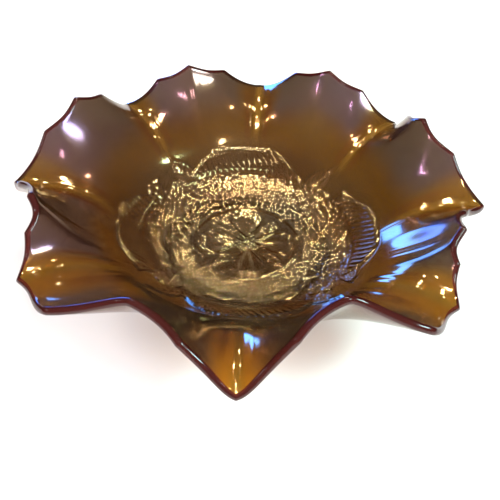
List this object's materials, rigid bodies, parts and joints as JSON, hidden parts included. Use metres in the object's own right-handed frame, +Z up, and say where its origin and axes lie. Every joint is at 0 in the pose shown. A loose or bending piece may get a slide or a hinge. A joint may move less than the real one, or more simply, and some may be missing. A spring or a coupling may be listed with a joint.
{
  "type": "ruffled glass bowl",
  "caption": "Shallow ruffled bowl of iridescent amber pressed glass on a low collar foot, with a raised floral pattern inside, for serving or display.",
  "frame": {"origin": "on the table, at the centre of the collar foot", "axes": "+Z up, -Y towards the front flare of the rim, +X to the right"},
  "size_m": [0.2475, 0.2506, 0.0706],
  "materials": {
    "carnival_glass": "gloss"
  },
  "bodies": {
    "root": {"bowl": "carnival_glass", "collar_foot": "carnival_glass"}
  },
  "joints": []
}
